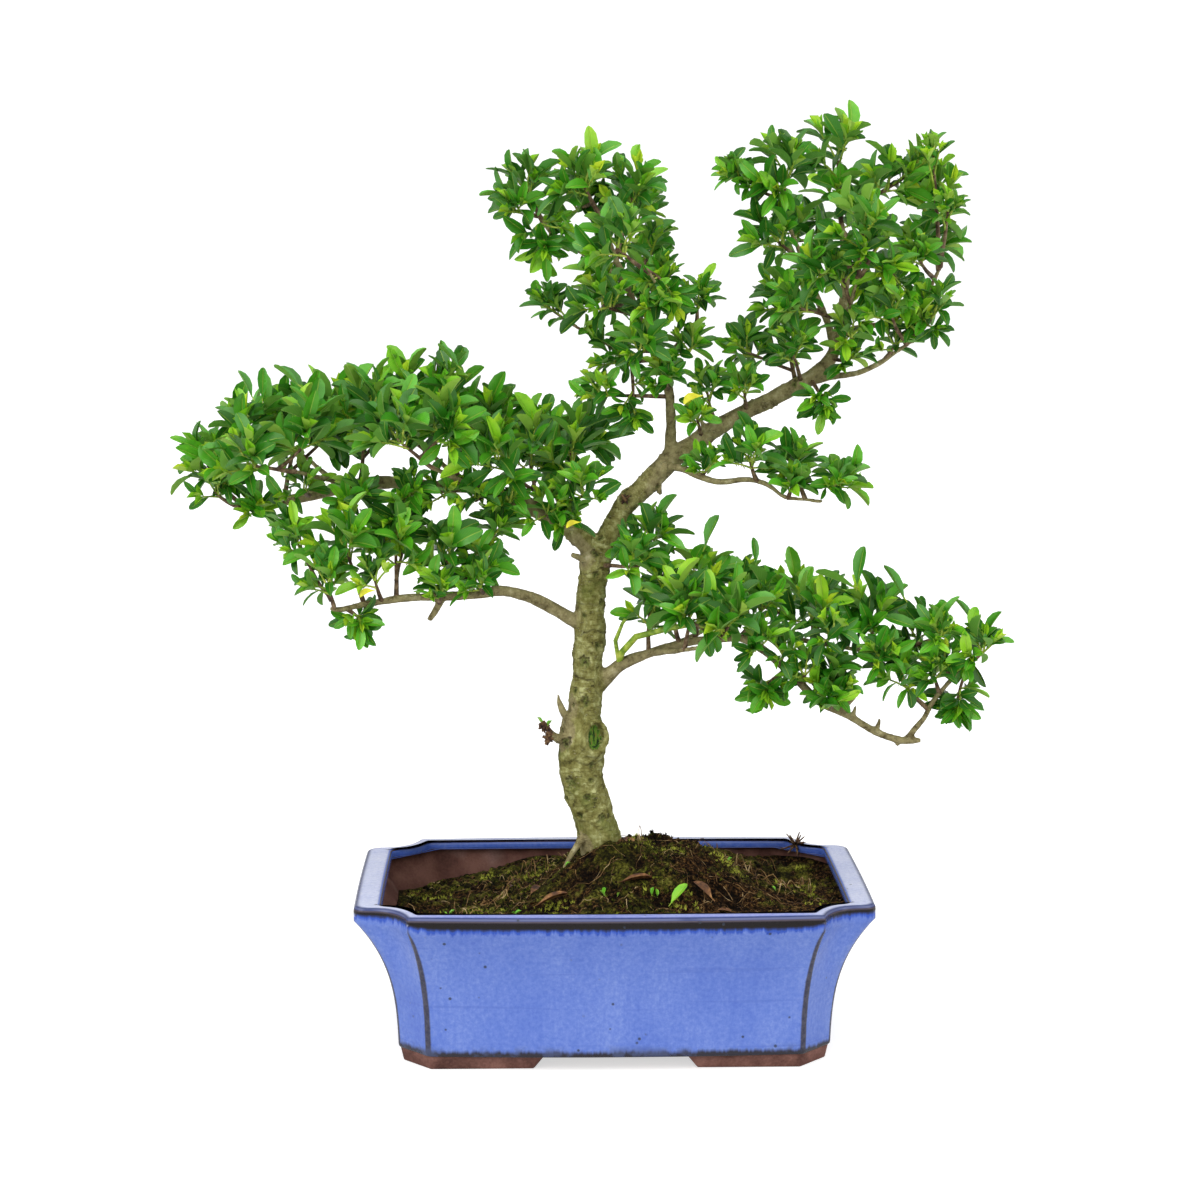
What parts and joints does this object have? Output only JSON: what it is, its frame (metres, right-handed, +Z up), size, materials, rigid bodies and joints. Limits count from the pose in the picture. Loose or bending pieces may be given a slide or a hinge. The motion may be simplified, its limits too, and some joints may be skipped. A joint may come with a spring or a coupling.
{
  "type": "potted bonsai tree",
  "caption": "Japanese holly bonsai with a short forked trunk, level leafy pads and a long eight-sided blue glazed pot on corner feet.",
  "frame": {"origin": "middle of the whole plant's footprint, on the surface that the pot stands on", "axes": "+Z up, +X along the pot's long side towards the crown's rising end, +Y from the front to the back"},
  "size_m": [0.492, 0.2266, 0.5492],
  "materials": {
    "glaze": "gloss",
    "mesh": "matte",
    "soil": "matte",
    "bark": "matte",
    "leaves": "satin",
    "dead_leaves": "matte"
  },
  "bodies": {
    "root": {"pot": "glaze", "drain_mesh_left": "mesh", "drain_mesh_right": "mesh", "soil": "soil", "trunk_and_branches": "bark", "spray_left_01": "leaves", "spray_left_02": "leaves", "spray_left_03": "leaves", "spray_left_04": "leaves", "spray_left_05": "leaves", "spray_left_06": "leaves", "spray_left_07": "leaves", "spray_left_08": "leaves", "spray_left_09": "leaves", "spray_left_10": "leaves", "spray_left_11": "leaves", "spray_low_left_01": "leaves", "spray_low_left_02": "leaves", "spray_low_left_03": "leaves", "spray_low_left_04": "leaves", "spray_low_left_05": "leaves", "spray_centre_01": "leaves", "spray_centre_02": "leaves", "spray_centre_03": "leaves", "spray_centre_04": "leaves", "spray_centre_05": "leaves", "spray_centre_06": "leaves", "spray_centre_07": "leaves", "spray_centre_08": "leaves", "spray_centre_09": "leaves", "spray_top_01": "leaves", "spray_top_02": "leaves", "spray_top_03": "leaves", "spray_top_04": "leaves", "spray_top_05": "leaves", "spray_top_06": "leaves", "spray_top_07": "leaves", "spray_top_08": "leaves", "spray_top_09": "leaves", "spray_top_10": "leaves", "spray_top_11": "leaves", "spray_middle_01": "leaves", "spray_middle_02": "leaves", "spray_right_01": "leaves", "spray_right_02": "leaves", "spray_right_03": "leaves", "spray_right_04": "leaves", "spray_right_05": "leaves", "spray_right_06": "leaves", "spray_right_07": "leaves", "spray_right_08": "leaves", "spray_right_09": "leaves", "spray_right_10": "leaves", "spray_right_11": "leaves", "spray_right_12": "leaves", "spray_right_13": "leaves", "fallen_leaf_1": "leaves", "fallen_leaf_2": "dead_leaves", "fallen_leaf_3": "dead_leaves", "fallen_leaf_4": "dead_leaves"}
  },
  "joints": []
}
